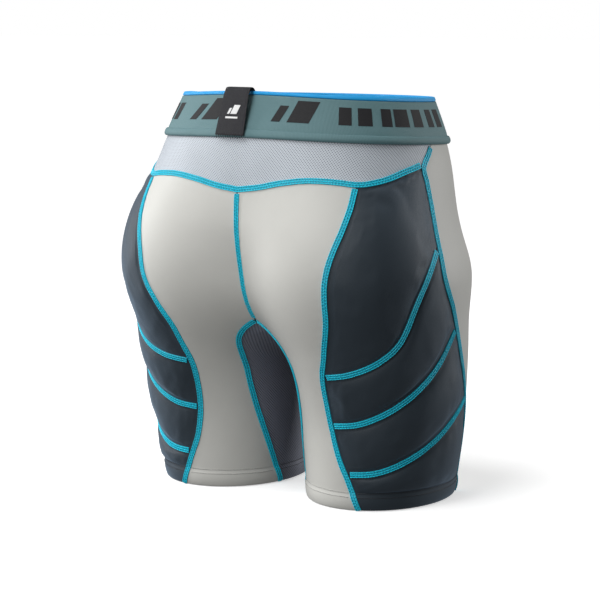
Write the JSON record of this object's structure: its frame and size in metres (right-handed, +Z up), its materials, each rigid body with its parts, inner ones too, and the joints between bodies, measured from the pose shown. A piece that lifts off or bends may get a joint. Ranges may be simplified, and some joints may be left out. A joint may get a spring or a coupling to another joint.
{
  "type": "padded impact shorts",
  "caption": "Compression shorts with padded side panels, mesh back yoke and inner-thigh gusset, contrast flatlock seams, elastic waistband and a folded loop label.",
  "frame": {"origin": "on the surface that both leg hems stand on, below the middle of the garment's box, on the left-right middle plane", "axes": "+Z up from the hems to the waistband, +Y towards the wearer's back, +X towards the wearer's left; the wearer faces -Y"},
  "size_m": [0.348, 0.235, 0.3913],
  "materials": {
    "waistband_fabric": "woven elastic, matte with a slight sheen",
    "waistband_edge": "bright woven elastic edge",
    "label_ribbon": "satin ribbon",
    "yoke_mesh": "fine stretch mesh",
    "light_spandex": "smooth stretch knit with soft sheen",
    "pad_cover_fabric": "smooth dark stretch knit",
    "pad_foam": "closed-cell foam",
    "pad_lining_fabric": "brushed knit",
    "gusset_mesh": "dark stretch mesh",
    "seam_thread": "bright flatlock thread",
    "hem_thread": "tone-on-tone coverstitch thread"
  },
  "bodies": {
    "root": {"back_panel_left": "light_spandex", "back_panel_right": "light_spandex", "back_yoke": "yoke_mesh", "center_back_seam": "seam_thread", "center_front_seam": "seam_thread", "foam_pad_hem_left": "pad_foam", "foam_pad_hem_right": "pad_foam", "foam_pad_lower_left": "pad_foam", "foam_pad_lower_right": "pad_foam", "foam_pad_middle_left": "pad_foam", "foam_pad_middle_right": "pad_foam", "foam_pad_upper_left": "pad_foam", "foam_pad_upper_right": "pad_foam", "front_panel_left": "light_spandex", "front_panel_right": "light_spandex", "gusset": "gusset_mesh", "hem_stitch_back_left": "hem_thread", "hem_stitch_back_right": "hem_thread", "hem_stitch_front_left": "hem_thread", "hem_stitch_front_right": "hem_thread", "hem_stitch_gusset_left": "hem_thread", "hem_stitch_gusset_right": "hem_thread", "hem_stitch_pad_left": "hem_thread", "hem_stitch_pad_right": "hem_thread", "inseam_back_seam_left": "seam_thread", "inseam_back_seam_right": "seam_thread", "inseam_front_seam_left": "seam_thread", "inseam_front_seam_right": "seam_thread", "loop_label": "label_ribbon", "pad_cover_hem_left": "pad_cover_fabric", "pad_cover_hem_right": "pad_cover_fabric", "pad_cover_lower_left": "pad_cover_fabric", "pad_cover_lower_right": "pad_cover_fabric", "pad_cover_middle_left": "pad_cover_fabric", "pad_cover_middle_right": "pad_cover_fabric", "pad_cover_upper_left": "pad_cover_fabric", "pad_cover_upper_right": "pad_cover_fabric", "pad_lining_left": "pad_lining_fabric", "pad_lining_right": "pad_lining_fabric", "pad_seam_1_left": "seam_thread", "pad_seam_1_right": "seam_thread", "pad_seam_2_left": "seam_thread", "pad_seam_2_right": "seam_thread", "pad_seam_3_left": "seam_thread", "pad_seam_3_right": "seam_thread", "side_back_seam_left": "seam_thread", "side_back_seam_right": "seam_thread", "side_front_seam_left": "seam_thread", "side_front_seam_right": "seam_thread", "waistband_elastic": "waistband_fabric", "waistband_top_edge": "waistband_edge", "yoke_seam": "seam_thread"}
  },
  "joints": []
}
